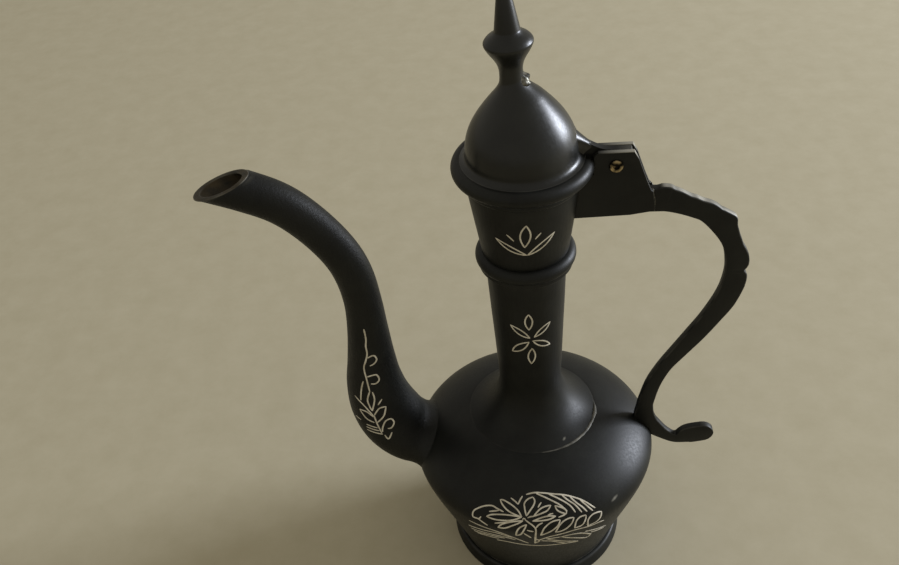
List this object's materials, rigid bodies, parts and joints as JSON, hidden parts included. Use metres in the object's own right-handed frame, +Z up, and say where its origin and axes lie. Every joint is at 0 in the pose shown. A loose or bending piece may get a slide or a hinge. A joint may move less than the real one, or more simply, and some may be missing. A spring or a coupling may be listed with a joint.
{
  "type": "surahi",
  "caption": "Lidded ewer of blackened cast metal with fine silver floral inlay, a curved swan-neck spout, a flat scrolled strap handle and a hinged domed lid with a knob finial.",
  "frame": {"origin": "on the ground, on the turning axis of the body, neck and cup", "axes": "+Z up the turning axis, the spout towards -X, the handle and the lid's hinge towards +X"},
  "size_m": [0.1512, 0.076, 0.2033],
  "materials": {
    "blackened_alloy": "matte black patina on a cast zinc and copper alloy",
    "brass_pin": "worn brass, darkened in the middle",
    "grey_solder": "rough dull solder"
  },
  "bodies": {
    "vessel": {"foot_ring": "blackened_alloy", "base_plate": "blackened_alloy", "body": "blackened_alloy", "neck": "blackened_alloy", "collar": "blackened_alloy", "cup": "blackened_alloy", "mouth_rim": "blackened_alloy", "spout": "blackened_alloy", "handle": "blackened_alloy", "hinge_cheek_front": "blackened_alloy", "hinge_cheek_back": "blackened_alloy", "hinge_pin": "brass_pin"},
    "lid": {"lid_rim": "blackened_alloy", "lid_dome": "blackened_alloy", "lid_tongue": "blackened_alloy", "finial": "blackened_alloy", "finial_solder": "grey_solder"}
  },
  "joints": [
    {"name": "lid_hinge", "type": "hinge", "parent": "vessel", "child": "lid", "pos_m": [0.024, 0, 0.1464], "axis": [0, 1, 0], "range_deg": [0, 100]}
  ]
}
